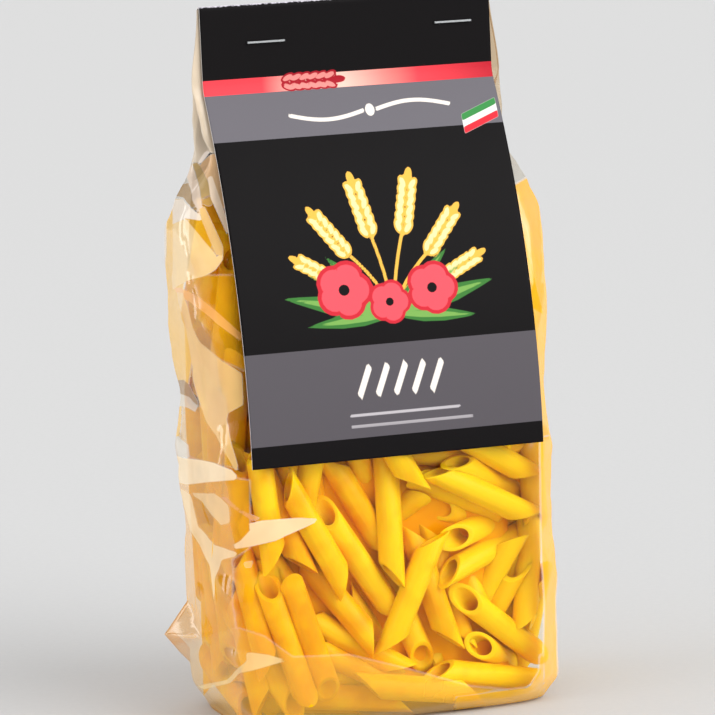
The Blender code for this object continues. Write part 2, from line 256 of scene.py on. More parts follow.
# Creases of the film: direction (degrees from level), spacing and depth (mm).
CREASES = (
    (63, 23, 1.0),
    (-58, 31, 0.9),
    (12, 37, 0.7),
    (-31, 17, 0.55),
    (84, 13, 0.35),
)
PLEAT_SPACING = 5.5 * MM
PLEAT_DEPTH = 0.3 * MM
MOST_SAG = 0.9 * MM
DEEPEST = -0.25 * MM
HIGHEST = 1.1 * MM
SAG_REACH = 2.2 * MM
# Slow waves that bend the creases, and how far each crease is shifted from the last.
WARP = 4 * MM
WARP_HIGH = 19 * MM
WARP_LONG = 27 * MM
CREASE_SHIFT = 0.37
# Where the film is loose: towards the left and the right side, and its share elsewhere.
LEFT_LOOSE = (-46 * MM, -54 * MM)
RIGHT_LOOSE = (49 * MM, 56 * MM)
RIGHT_SHARE = 0.5
LEAST_LOOSE = 0.12
# Flat part below the card, and how softly it, the neck and the stacked layers begin.
CARD_EDGE = 1.5 * MM
EDGE_FADE = 3 * MM
LOW_FADE = 4 * MM
NECK_BELOW = 8 * MM
NECK_ABOVE = 6 * MM
STACK_BELOW = 6 * MM
PLEAT_SWAY = 0.2
PLEAT_WAVE = 9 * MM
FILM_WELD = 0.02 * MM

# Painted light on the film: pale patches and facets painted as reflections and highlights,
# tan facets painted as shade in folds, and golden patches painted as lit pasta over shaded
# or empty parts, as (how strongly painted, tint, corner pixels as the camera sees them), in
# layers, each over the last, so that a facet's edge is never between two facets of one layer.
FACET_EDGE = 0.02
PAINTED_PATCH_BLUR = 1.5
PAINTED_FACET_BLUR = 0.5
FILM_PAINTED_LIGHT = (
    (
        (0.74, "#F4BE48", (
            (165, 198), (184, 200), (187, 300), (192, 360), (186, 400), (184, 440), (165, 445),
        )),
        (0.8, "#D9B070", ((158, 634), (176, 600), (192, 606), (208, 618), (204, 640), (180, 664))),
        (0.42, "#F2B848", (
            (186, 645), (200, 627), (240, 628), (265, 637), (293, 657), (350, 655), (412, 670),
            (470, 686), (510, 690), (560, 684), (560, 730), (150, 730), (160, 650),
        )),
        (0.85, "#F8B60C", ((541, 436), (558, 436), (558, 704), (544, 704), (546, 600), (543, 562))),
        (0.85, "#F5B61E", (
            (512, 186), (527, 177), (556, 196), (556, 436), (541, 436), (528, 300), (518, 230),
        )),
        (0.52, "#F2AC14", (
            (172, 470), (250, 480), (250, 548), (232, 560), (236, 628), (186, 645), (172, 600),
        )),
        (0.42, "#E8AA14", ((187, 275), (236, 275), (246, 372), (222, 360), (201, 345), (190, 320))),
        (0.5, "#E0A41C", (
            (181, 406), (204, 406), (226, 440), (236, 468), (200, 461), (188, 456), (181, 437),
        )),
        (0.75, "#F0B428", (
            (455, 696), (530, 688), (540, 672), (541, 655), (547, 655), (545, 704), (455, 714),
        )),
    ),
    (
        (0.8, "#D9A01C", ((184, 218), (203, 220), (217, 257))),
        (0.85, "#DCCBB4", (
            (190, 8), (199, 9), (203, 75), (213, 140), (215, 153), (207, 152), (198, 163), (191, 163),
            (184, 150), (180, 110), (180, 50),
        )),
        (0.7, "#DDD2C2", ((168, 440), (181, 436), (188, 445), (189, 458), (168, 455))),
        (0.8, "#F3CD90", (
            (188, 493), (215, 493), (228, 506), (230, 523), (222, 525), (208, 505), (196, 498),
        )),
        (0.6, "#F3C57C", ((243, 562), (253, 561), (251, 568), (245, 568))),
        (0.8, "#F2CE8C", ((246, 652), (268, 655), (288, 661), (262, 668), (232, 675), (247, 661))),
    ),
    (
        (0.85, "#E6D0BB", (
            (184, 172), (192, 163), (197, 180), (202, 200), (204, 214), (199, 216), (193, 200),
            (189, 183),
        )),
        (0.6, "#F0B070", ((216, 494), (225, 497), (240, 510), (264, 520), (252, 521), (232, 508))),
        (0.85, "#F6D5A0", (
            (179, 487), (190, 495), (200, 527), (214, 545), (236, 552), (238, 556), (221, 560),
            (216, 580), (213, 601), (209, 566), (202, 552), (186, 512),
        )),
        (0.7, "#F4D79A", (
            (196, 686), (226, 680), (247, 661), (250, 658), (243, 670), (230, 683), (203, 690),
        )),
    ),
    (
        (0.9, "#BC9E6A", ((192, 162), (199, 163), (213, 192), (213, 194), (202, 200), (197, 180))),
        (0.85, "#A8895E", (
            (172, 190), (180, 184), (189, 183), (193, 200), (202, 217), (196, 212), (184, 198),
            (172, 196),
        )),
        (0.92, "#F7D3A3", (
            (233, 545), (240, 541), (250, 530), (248, 524), (262, 521), (300, 518), (317, 519),
            (316, 522), (300, 530), (275, 541), (250, 547), (235, 549),
        )),
    ),
    (
        (0.9, "#DDB487", (
            (199, 164), (208, 155), (215, 153), (226, 205), (224, 212), (214, 190), (206, 178),
        )),
        (0.9, "#EBDCCB", (
            (172, 200), (184, 200), (196, 212), (202, 217), (202, 221), (186, 219), (178, 224),
            (172, 224),
        )),
        (0.8, "#C29A55", ((202, 204), (204, 200), (213, 195), (214, 205), (208, 207))),
    ),
    (
        (0.85, "#F3D092", (
            (172, 224), (187, 220), (216, 255), (217, 258), (223, 250), (223, 260), (216, 270),
            (205, 276), (190, 280), (172, 290),
        )),
        (1.0, "#F6E9DE", ((197, 164), (199, 165), (209, 152), (207, 150), (203, 153))),
        (0.95, "#F6DDC2", ((207, 176), (212, 176), (231, 230), (227, 234), (211, 199))),
    ),
    (
        (0.7, "#F5CD8B", ((200, 210), (205, 207), (223, 246), (223, 256), (216, 255), (202, 221))),
        (0.7, "#FDB863", (
            (172, 288), (183, 287), (200, 297), (242, 334), (242, 342), (218, 325), (195, 305),
            (180, 295),
        )),
    ),
    (
        (0.75, "#F5CB85", (
            (178, 292), (185, 292), (195, 330), (201, 343), (222, 360), (242, 374), (243, 405),
            (228, 413), (226, 420), (229, 430), (239, 470), (235, 470), (213, 430), (200, 400),
            (193, 375), (188, 345),
        )),
    ),
    (
        (0.7, "#DDD0BC", ((172, 387), (186, 390), (200, 405), (196, 412), (187, 408), (172, 404))),
        (0.92, "#F6DDB4", (
            (168, 451), (185, 458), (200, 460), (215, 463), (232, 470), (238, 477), (235, 480),
            (210, 482), (185, 485), (174, 480),
        )),
    ),
    (
        (0.85, "#A58255", (
            (172, 380), (183, 380), (192, 388), (201, 404), (198, 405), (188, 397), (172, 391),
        )),
    ),
)

# Printed shapes, in mm from the card's left edge and down from the fold.
WHEAT_PALE = "#F7DDA0"
WHEAT_GOLD = "#EFB64C"
LEAF_DARK = "#3F7A38"
LEAF_LIGHT = "#79A954"
PETAL_DARK = "#C92B38"
PETAL_LIGHT = "#EE5560"
INK_CREAM = "#EFE6DC"
EAR_RED = "#A51C2A"
EAR_LIGHT = "#E58C86"
PRINT_LAYERS = 5
INK_BLUR = 0.12
SHEAF_FOOT = (52.0, 108.0)
SHEAF_EARS = ((-56, 36, 1.0), (-33, 42, 1.1), (-10, 46, 1.2), (14, 47, 1.2), (37, 41, 1.1), (60, 35, 1.0))
POPPIES = ((36.0, 99.0, 8.6), (66.0, 100.5, 7.8), (51.0, 104.0, 6.4))
LEAVES = (
    (-78, 38, 6.5), (-62, 31, 5.5), (-46, 30, 5.0), (76, 37, 6.5),
    (60, 31, 5.5), (46, 29, 5.0), (-94, 30, 5.0), (95, 29, 5.0),
)
SMALL_EAR = (29.0, 26.8)
KERNELS = 6
SWASH_MIDDLE = (55, 38.6)
SWASH_HALVES = ((27, 1), (57, -1))
SWASH_LONG = 26
SWASH_RISE = 2.4
RIBBON = (("#F1EEEA", 0, 7), ("#3E8B4A", 0, 2.4), ("#D8303C", 4.6, 7))
STRIPS = 5
STRIP_LEFT = 37.0
STRIP_STEP = 6.2
RULES = ((139.4, 34, 72), (143.0, 34, 76))
RULE_WIDE = 0.9
RULE_GRAY = "#B9B4B8"

# Print colours and places, down from the fold (mm).
INK_BLACK = "#151314"
INK_GRAY_TOP = "#6B686E"
INK_GRAY_LOW = "#585459"
INK_RED = "#EE4650"
INK_PALE = "#F4C4B4"
BARE_FIBRE = "#D9D4DE"
STRIPE_TOP = 24.5
STRIPE_LOW = 29.8
STRIPE_FADE = (
    (0.0, INK_RED), (0.2, INK_RED), (0.36, INK_PALE), (0.48, INK_PALE),
    (0.62, "#F08A82"), (0.74, INK_RED), (1.0, "#BC2634"),
)
BANDS = (
    (0.0, INK_BLACK),
    (STRIPE_TOP, INK_RED),
    (STRIPE_LOW, INK_GRAY_TOP),
    (46.4, INK_BLACK),
    (116.9, INK_GRAY_LOW),
    (146.7, INK_BLACK),
)


def mix(low, high, share):
    return low + (high - low) * np.array(share)


def ease(low, high, value):
    """0 below low, 1 above high and smooth between, for numbers or arrays."""
    share = np.clip((value - low) / (high - low), 0.0, 1.0)
    return share * share * (3 - 2 * share)


def linear(code):
    """An sRGB hex colour as linear red, green, blue and alpha."""
    parts = [int(code[i : i + 2], 16) / 255 for i in (1, 3, 5)]
    curve = [((part + SRGB_LIFT) / (1 + SRGB_LIFT)) ** SRGB_POWER for part in parts]
    changed = [part / SRGB_SLOPE if part <= SRGB_KNEE else bent for part, bent in zip(parts, curve)]
    return (*changed, 1.0)


def add_node(tree, kind, settings=None, inputs=None, stops=None):
    """Adds one node, sets it up, and fills its sockets or links them; a node gives its first output."""
    node = tree.nodes.new("ShaderNode" + kind)
    for name, value in (settings or {}).items():
        setattr(node, name, value)
    for name, value in (inputs or {}).items():
        socket = node.inputs[name]
        if isinstance(value, bpy.types.Node):
            value = value.outputs[0]
        if isinstance(value, bpy.types.NodeSocket):
            tree.links.new(value, socket)
        else:
            socket.default_value = value
    if stops:
        elements = node.color_ramp.elements
        while len(elements) < len(stops):
            elements.new(1.0)
        for element, (place, code) in zip(elements, stops):
            element.position = place
            element.color = linear(code)
    return node


def new_material(name):
    made = bpy.data.materials.new(name)
    made.use_nodes = True
    made.node_tree.nodes.clear()
    return made, made.node_tree


def put_out(tree, shader):
    add_node(tree, "OutputMaterial", inputs={"Surface": shader})


# Form that the film, the filling and the card share


def card_lean(drop):
    """The card's lean from upright at this distance down from the fold."""
    if drop < CLAMP_DROP:
        return 0.0
    onset = min(1.0, (drop - CLAMP_DROP) / LEAN_ONSET)
    share = (drop - CLAMP_DROP) / (CARD_DROP - CLAMP_DROP)
    return CARD_LEAN * onset * (1 - share**LEAN_EASE)


def hanging_line():
    """Middle of one hanging panel as (out, height) points, top first."""
    step = CARD_DROP / CARD_STEPS
    out = (NECK_THICK + CARD_THICK) / 2 + GAP
    down = 0.0
    points = [(out, down)]
    for index in range(CARD_STEPS):
        angle = card_lean((index + 0.5) * step)
        out += math.sin(angle) * step
        down += math.cos(angle) * step
        points.append((out, down))
    top = CARD_LOW + down
    return np.array([(out, top - down) for out, down in points])


HANGING = hanging_line()
FOLD_RADIUS, FOLD_BOTTOM = HANGING[0]
NECK_TOP = FOLD_BOTTOM + FOLD_RADIUS - CARD_THICK / 2 - GAP - NECK_SHORT


def half_depth(height):
    """The film's reach to the front and to the back at these heights."""
    clear = CARD_THICK / 2 + GAP
    low_first = HANGING[::-1]
    behind = np.interp(height, low_first[:, 1], low_first[:, 0]) - clear
    swell = np.sin(math.pi * np.clip(height, 0, CARD_LOW) / CARD_LOW)
    drop = np.clip(BASE_ROUND - height, 0, BASE_ROUND)
    rounding = BASE_ROUND - np.sqrt(BASE_ROUND**2 - drop**2)
    below = HANGING[-1][0] - clear + BELLY * swell - rounding
    return np.where(height >= CARD_LOW, behind, below)


def half_width(height):
    heights, widths = np.array(HALF_WIDTHS).T
    index = np.clip(np.searchsorted(heights, height) - 1, 0, len(heights) - 2)
    share = ease(heights[index], heights[index + 1], height)
    return mix(widths[index], widths[index + 1], share)


def section_power(height):
    lens = mix(BOX_POWER, LENS_POWER, ease(BOX_TOP, LENS_AT, height))
    return mix(lens, NECK_POWER, ease(LENS_AT, NECK_FROM, height))


def film_points(turn, height, inset=0.0):
    """Points of the film, moved in by inset, as an array of x, y, z."""
    depth = half_depth(height)
    wide = half_width(height) - inset
    deep = depth - np.minimum(inset, MOST_INSET * depth)
    power = section_power(height)
    across, forth = np.cos(turn), np.sin(turn)
    size = (np.abs(across) ** power + np.abs(forth) ** power) ** (1 / power)
    across, forth = across / size, forth / size
    middle = (CREASE_FROM + CREASE_TO) / 2
    fold = ease(CREASE_FROM, middle, height) * (1 - ease(middle, CREASE_TO, height))
    wide = wide - CREASE_DEPTH * fold * np.maximum(0.0, 1 - np.abs(forth) / CREASE_SPREAD)
    return np.stack(np.broadcast_arrays(wide * across, deep * forth, height), axis=-1)


def distances(points):
    """Distance along a line of points, from the first to each."""
    steps = np.linalg.norm(np.diff(points, axis=0), axis=1)
    return np.concatenate([[0.0], np.cumsum(steps)])


def even_turns(count):
    """Turns round the bag, evenly spaced along the film, from the back."""
    fine = np.linspace(0.5 * math.pi, 2.5 * math.pi, FINE_TURNS + 1)
    along = distances(film_points(fine, np.full_like(fine, SPACING_HEIGHT)))
    return np.interp(np.linspace(0, along[-1], count + 1), along, fine)


# Flat shapes painted on film and card


def outline_reach(across, down, corners):
    """How far pixels lie inside a closed outline of corner pixels; negative outside."""
    away = np.full(across.shape, FAR_OFF)
    inside = np.zeros(across.shape, bool)
    for (x0, y0), (x1, y1) in zip(corners, corners[1:] + corners[:1]):
        run, drop = x1 - x0, y1 - y0
        share = np.clip(((across - x0) * run + (down - y0) * drop) / (run**2 + drop**2), 0, 1)
        away = np.minimum(away, np.hypot(across - x0 - share * run, down - y0 - share * drop))
        if drop:
            spans = (down < y0) != (down < y1)
            inside ^= spans & (across < run * (down - y0) / drop + x0)
    return np.where(inside, away, -away)


def painted(across, down, shapes):
    """Tint with strength, and reach inside, of the last outline over each point."""
    tint = np.zeros((len(across), 4))
    reach = np.full(len(across), -FAR_OFF)
    for strength, code, corners in shapes:
        places = np.array(corners)
        low, high = places.min(axis=0) - PAINT_MARGIN, places.max(axis=0) + PAINT_MARGIN
        near = (across > low[0]) & (across < high[0]) & (down > low[1]) & (down < high[1])
        inside = np.full(len(across), -FAR_OFF)
        inside[near] = outline_reach(across[near], down[near], corners)
        over = (inside > 0) | (inside > reach)
        reach[over] = inside[over]
        tint[over] = (*linear(code)[:3], strength)
    return tint, reach


def new_layer(bm, name):
    """Vertex layers for one painting: its tint and its reach."""
    kinds = bm.verts.layers
    return kinds.float_color.new(name + "_tint"), kinds.float.new(name + "_reach")


def read_layer(tree, name, blur):
    """Tint and strength of one painting, and 1 inside its outlines, with edges this soft."""
    tint = add_node(tree, "Attribute", {"attribute_name": name + "_tint"})
    reach = add_node(tree, "Attribute", {"attribute_name": name + "_reach"})
    span = {"Value": reach.outputs["Fac"], "From Min": -blur, "From Max": blur}
    return tint.outputs["Color"], tint.outputs["Alpha"], add_node(tree, "MapRange", inputs=span)


def blend(tree, kind, share, low, high):
    """Result of mixing two floats or colours."""
    node = add_node(tree, "Mix", {"data_type": kind}, {"Factor": share, "A": low, "B": high})
    return node.outputs["Result"]


# Camera


def camera_axes():
    """Right, up and forward of the camera."""
    turn, rise, roll = CAMERA_TURN, CAMERA_RISE, CAMERA_ROLL
    flat = Vector((math.cos(turn), -math.sin(turn), 0))
    ahead = Vector((math.sin(turn) * math.cos(rise), math.cos(turn) * math.cos(rise), -math.sin(rise)))
    above = flat.cross(ahead)
    right = math.cos(roll) * flat - math.sin(roll) * above
    up = math.sin(roll) * flat + math.cos(roll) * above
    return right, up, ahead


def make_camera():
    right, up, ahead = camera_axes()
    data = bpy.data.cameras.new("camera")
    data.lens = CAMERA_LENS
    data.sensor_width = SENSOR
    data.clip_end = CLIP_FAR
    made = put_in_scene("camera", data)
    turned = Matrix((right, up, -ahead)).transposed().to_4x4()
    made.matrix_world = Matrix.Translation(CAMERA_AIM - ahead * CAMERA_AWAY) @ turned
    bpy.context.scene.camera = made


def seen_at(points):
    """Pixels at which the camera sees these points of an (n, 3) array."""
    right, up, ahead = (np.array(axis) for axis in camera_axes())
    offset = points - np.array(CAMERA_AIM) + ahead * CAMERA_AWAY
    focal = CAMERA_LENS / SENSOR * IMAGE_SIDE
    away = offset @ ahead
    across = IMAGE_SIDE / 2 + focal * (offset @ right) / away
    down = IMAGE_SIDE / 2 - focal * (offset @ up) / away
    return across, down


# Filling


def section_reach(points, wide, deep, power):
    """1 on the section with these half sizes, less inside it and more outside."""
    reach = np.abs(points[:, 0] / wide) ** power + np.abs(points[:, 1] / deep) ** power
    return reach ** (1 / power)


def inside_film(points, inset):
    """Points of an (n, 3) array, moved in where they are nearer the film than inset."""
    height = np.clip(points[:, 2], inset, FILL_TOP - inset)
    wide = half_width(height) - inset - SIDE_CLEAR
    slope = (half_depth(height) - half_depth(height + SLOPE_STEP)) / SLOPE_STEP
    steep = np.minimum(np.sqrt(1 + slope**2), STEEPEST)
    behind_card = CARD_CLEAR * ease(CARD_LOW, BOX_TOP, height)
    deep = np.maximum(half_depth(height) - inset * steep - behind_card, THINNEST)
    share = 1 / np.maximum(1.0, section_reach(points, wide, deep, section_power(height)))
    return np.stack([points[:, 0] * share, points[:, 1] * share, height], axis=1)


def behind_front(points, inset):
    """Points moved back where they are in the layer of the placed penne."""
    below = (points[:, 2] < FRONT_LAYER_TOP) & (np.abs(points[:, 0]) < FRONT_LAYER_WIDE)
    limit = -(half_depth(points[:, 2]) - inset - FRONT_LAYER)
    kept = points.copy()
    kept[:, 1] = np.where(below, np.maximum(points[:, 1], limit), points[:, 1])
    return kept


def out_of_heart(middle):
    """Steps that bring pieces back into the shell that shows."""
    height = middle[:, 2]
    wide = half_width(height) - SHELL_LIMIT
    deep = np.maximum(half_depth(height) - SHELL_LIMIT, THINNEST)
    sunk = np.maximum(0.0, 1 - section_reach(middle, wide, deep, section_power(height)))
    return outward(middle) * (sunk * HEART_STEP * MM)[:, None]


def outward(points):
    """Unit vectors from these points towards the nearest side of the bag."""
    height = points[:, 2]
    power = section_power(height)
    wide, deep = half_width(height), half_depth(height)
    x, y = points[:, 0], points[:, 1]
    away = np.stack(
        [
            np.sign(x) * np.abs(x / wide) ** (power - 1) / wide,
            np.sign(y) * np.abs(y / deep) ** (power - 1) / deep,
            0 * height,
        ],
        axis=1,
    )
    return away / np.maximum(np.linalg.norm(away, axis=1, keepdims=True), FAINT)


def nearest_on_lines(start_a, line_a, start_b, line_b):
    """Shares along two sets of segments at which they come closest."""
    between = start_a - start_b
    aa = (line_a * line_a).sum(1)
    bb = (line_b * line_b).sum(1)
    ab = (line_a * line_b).sum(1)
    a_gap = (line_a * between).sum(1)
    b_gap = (line_b * between).sum(1)
    across = np.maximum(aa * bb - ab * ab, TINY)
    on_a = np.clip((ab * b_gap - a_gap * bb) / across, 0, 1)
    on_b = np.clip((ab * on_a + b_gap) / bb, 0, 1)
    on_a = np.clip((ab * on_b - a_gap) / aa, 0, 1)
    return on_a, on_b


def push_apart(ends, held):
    """One round: pieces that overlap are pushed apart by their overlap."""
    start, line = ends[:, 0], ends[:, 1] - ends[:, 0]
    middle = start + line / 2
    first, second = np.triu_indices(len(ends), 1)
    near = np.linalg.norm(middle[first] - middle[second], axis=1) < PENNE_LONG + PENNE_ACROSS
    first, second = first[near], second[near]
    on_a, on_b = nearest_on_lines(start[first], line[first], start[second], line[second])
    spot_a = start[first] + line[first] * on_a[:, None]
    spot_b = start[second] + line[second] * on_b[:, None]
    gap = spot_a - spot_b
    apart = np.maximum(np.linalg.norm(gap, axis=1), SMALLEST_GAP)
    overlap = np.maximum(0.0, PENNE_ACROSS - apart)
    share = np.where(held[second] & ~held[first], 1 - HELD_SHARE, 0.5)
    share = np.where(held[first] & ~held[second], HELD_SHARE, share)
    push = gap / apart[:, None] * overlap[:, None] * PUSH_SHARE
    moved = np.zeros_like(ends)
    for index, shares, part, sign in ((first, on_a, share, 1), (second, on_b, 1 - share, -1)):
        size = (1 - shares) ** 2 + shares**2
        force = sign * push * (part / size)[:, None]
        np.add.at(moved, (index, 0), force * (1 - shares)[:, None])
        np.add.at(moved, (index, 1), force * shares[:, None])
    return moved


def front_ends():
    """Ends of the penne that are placed one by one, below the front film."""
    inset = PENNE_ACROSS / 2 + FILM_SKIN
    ends = []
    for across, height, turn, _, start_depth, end_depth in FRONT_PENNE:
        angle = math.radians(turn)
        drop = (end_depth - start_depth) * MM
        reach = math.sqrt(PENNE_LONG**2 - drop**2) / 2
        pair = []
        for side, depth in ((-reach, start_depth), (reach, end_depth)):
            spot_height = height * MM + side * math.cos(angle)
            y = depth * MM + inset - float(half_depth(np.array(spot_height)))
            pair.append((across * MM + side * math.sin(angle), y, spot_height))
        ends.append(pair)
    ends = np.array(ends)
    return pieces_along(*line_of(ends[:, 0], ends[:, 1]))


def thrown_ends(count):
    """Ends of pieces thrown into the outer shell, apart from what the card hides."""
    draw = np.random.default_rng(FILL_SEED)
    drawn = DRAWS_PER_PIECE * count
    turn = even_turns(FINE_TURNS)[draw.integers(0, FINE_TURNS, drawn)]
    beside = draw.uniform(-SIDE_SPREAD, SIDE_SPREAD, drawn) + math.pi * draw.integers(0, 2, drawn)
    turn = np.where(draw.uniform(0, 1, drawn) < SIDE_SHARE, beside, turn)
    corner = draw.uniform(0, 1, drawn) < CORNER_SHARE
    diagonal = math.pi / 4 + math.pi / 2 * draw.integers(0, 4, drawn)
    turn = np.where(corner, diagonal + draw.normal(0, CORNER_SCATTER, drawn), turn)
    height = draw.uniform(THROW_LOW, THROW_TOP, drawn)
    depth = draw.uniform(0, 1, drawn) * np.where(corner, CORNER_INSET, SHELL_DEPTH)
    middle = film_points(turn, height, PENNE_ACROSS / 2 + depth)
    hidden = (np.abs(middle[:, 0]) < HIDDEN_WIDE) & (height > HIDDEN_FROM)
    middle, corner = middle[~hidden][:count], corner[~hidden][:count]
    face = outward(middle)
    side = np.cross(face, (0.0, 0.0, 1.0))
    leaning, any_way = draw.normal(0, CORNER_TILT, count), draw.uniform(0, math.pi, count)
    angle = np.where(corner, leaning, any_way)[:, None]
    tip = draw.normal(0, OUTWARD_TILT, count)[:, None]
    along = side * np.sin(angle) + np.array((0.0, 0.0, 1.0)) * np.cos(angle) + face * tip
    along = along / np.linalg.norm(along, axis=1, keepdims=True)
    return pieces_along(middle, along)


def corner_ends():
    """Ends of pieces that stand where the bag's sides turn round to front and back."""
    draw = random.Random(FILL_SEED)
    ends = []
    for index, turn in enumerate(CORNER_TURNS):
        for level in range(CORNER_LEVELS):
            height = CORNER_LOW + CORNER_STEP * (level + 0.5 * (index % 2))
            if turn == OPEN_CORNER and height < FRONT_LAYER_TOP:
                continue
            inset = PENNE_ACROSS / 2 + 2 * FILM_SKIN
            middle = film_points(np.array(math.radians(turn)), np.array(height), inset)
            side = np.cross(outward(middle[None])[0], (0.0, 0.0, 1.0))
            lean = draw.uniform(-CORNER_LEAN, CORNER_LEAN)
            along = np.array((0.0, 0.0, 1.0)) * math.cos(lean) + side * math.sin(lean)
            ends.append([middle - along * PENNE_LONG / 2, middle + along * PENNE_LONG / 2])
    return np.array(ends)


def pieces_along(middle, along):
    """Ends of pieces with these middles and directions."""
    return np.stack([middle - along * PENNE_LONG / 2, middle + along * PENNE_LONG / 2], axis=1)


def line_of(low, high):
    """Middle and direction of lines between these points."""
    along = high - low
    return (low + high) / 2, along / np.linalg.norm(along, axis=1, keepdims=True)


def tips(ends, reach):
    """Points on each piece's line at this distance either side of its middle."""
    middle, along = line_of(ends[:, 0], ends[:, 1])
    return middle - along * reach, middle + along * reach


def settled_filling():
    """Ends of every piece: the placed ones first, then the loose ones."""
    placed = np.concatenate([front_ends(), corner_ends()])
    ends = np.concatenate([placed, thrown_ends(FILL_PIECES)])
    held = np.arange(len(ends)) < len(placed)
    home = ends.copy()
    inset = PENNE_ACROSS / 2 + FILM_SKIN
    for number in range(SETTLE_ROUNDS + CLOSING_ROUNDS):
        if number < SETTLE_ROUNDS:
            moved = push_apart(ends, held)
            moved[held] *= HELD_YIELD
            ends = ends + moved
            ends[held] = mix(ends[held], home[held], HOME_PULL)
            ends[~held] = mix(ends[~held], home[~held], LOOSE_PULL)
            ends[~held] += out_of_heart(ends.mean(axis=1))[~held, None]
        low, high = (inside_film(tip, inset) for tip in tips(ends, TIP_REACH))
        low[~held], high[~held] = behind_front(low[~held], inset), behind_front(high[~held], inset)
        middle, along = line_of(low, high)
        middle = inside_film(middle, inset)
        ends = pieces_along(middle, along)
    return ends


def quill(sides):
    """One hollow piece round the Z axis, both ends cut on the same slant."""
    bm = bmesh.new()
    radius = PENNE_ACROSS / 2
    bmesh.ops.create_cone(
        bm, cap_ends=False, segments=sides, radius1=radius, radius2=radius, depth=PENNE_LONG
    )
    bmesh.ops.solidify(bm, geom=bm.faces[:], thickness=PENNE_WALL)
    grain = bm.loops.layers.uv.new("quill")
    for face in bm.faces:
        middle = face.calc_center_median()
        facing = math.atan2(middle.y, middle.x)
        for loop in face.loops:
            turn = math.atan2(loop.vert.co.y, loop.vert.co.x)
            turn = facing + (turn - facing + math.pi) % (2 * math.pi) - math.pi
            loop[grain].uv = (turn * radius / MM, loop.vert.co.z / MM)
    if sides == FINE_SIDES:
        rims = [edge for edge in bm.edges if abs(edge.verts[0].co.z - edge.verts[1].co.z) < SAME_LEVEL]
        bmesh.ops.bevel(
            bm, geom=rims, offset=RIM_ROUND, segments=RIM_STEPS, profile=0.5, affect="EDGES", material=-1
        )
    for vert in bm.verts:
        vert.co.z += vert.co.x * PENNE_SLANT
    mesh = bpy.data.meshes.new("quill")
    bm.to_mesh(mesh)
    bm.free()
    return mesh


def put_in_scene(name, data):
    made = bpy.data.objects.new(name, data)
    bpy.context.scene.collection.objects.link(made)
    return made


def add_object(name, bm, *finishes):
    mesh = bpy.data.meshes.new(name)
    bm.to_mesh(mesh)
    bm.free()
    for finish in finishes:
        mesh.materials.append(finish)
    return put_in_scene(name, mesh)


def packet_piece(made, slot, *nodes):
    """Lets a piece ride on the packet, in place of these nodes. The slot is not used."""
    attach(made, "root")
    if nodes:
        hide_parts(*nodes)


def make_penne(name, ends, rolls, sides, seed):
    """Many quills as one mesh, each with a tone of its own, painted paler to the right as painted light."""
    draw = random.Random(seed)
    template = quill(sides)
    bm = bmesh.new()
    tone_and_lit_side = bm.verts.layers.float.new("tone_and_lit_side")
    for (start, end), roll in zip(ends, rolls):
        start, end = Vector(start), Vector(end)
        along = (end - start).normalized()
        viewer = Vector((0, -1, 0))
        if roll is None:
            viewer = Vector(outward(np.array([(start + end) / 2]))[0])
        ahead = (viewer - along * viewer.dot(along)).normalized()
        side = along.cross(ahead)
        angle = math.radians(roll) if roll is not None else draw.uniform(0, 2 * math.pi)
        across = ahead * math.cos(angle) + side * math.sin(angle)
        turned = Matrix((across, along.cross(across), along)).transposed().to_4x4()
        before = len(bm.verts)
        bm.from_mesh(template)
        bm.verts.ensure_lookup_table()
        new = bm.verts[before:]
        bmesh.ops.transform(bm, matrix=Matrix.Translation((start + end) / 2) @ turned, verts=new)
        # Painted light: pieces further right get a paler tone, as if lit from the right.
        beside = float(ease(-LIT_SIDE_REACH, LIT_SIDE_REACH, (start + end).x / 2))
        level = mix(draw.random(), beside, LIT_SIDE_SHARE)
        for vert in new:
            vert[tone_and_lit_side] = level
    for face in bm.faces:
        face.smooth = True
    made = add_object(name, bm, durum_pasta())
    made.data.set_sharp_from_angle(angle=SHARP_ANGLE)
    bpy.data.meshes.remove(template)
    return made


def close_skin(bm, weld):
    """Welds a rolled-up grid, fills its two ends and smooths it."""
    bmesh.ops.remove_doubles(bm, verts=bm.verts[:], dist=weld)
    bmesh.ops.holes_fill(bm, edges=[edge for edge in bm.edges if edge.is_boundary], sides=0)
    bmesh.ops.recalc_face_normals(bm, faces=bm.faces[:])
    for face in bm.faces:
        face.smooth = True


def make_core():
    """Heart of the filling, dark between the pieces that show."""
    bm = bmesh.new()
    bmesh.ops.create_grid(bm, x_segments=CORE_COLUMNS, y_segments=CORE_ROWS, size=0.5)
    for vert in bm.verts:
        turn = (vert.co.x + 0.5) * 2 * math.pi
        height = mix(CORE_FOOT, CORE_HEAD, vert.co.y + 0.5)
        ring, rise = LUMPS_ROUND * turn + LUMP_TWIST * height, LUMP_STACK * height
        lump = CORE_LUMP * math.sin(ring) * math.cos(rise)
        vert.co = film_points(np.array(turn), np.array(height), CORE_DEPTH + lump)
    close_skin(bm, CORE_WELD)
    return add_object("filling_heart", bm, shaded_pasta())


# Film


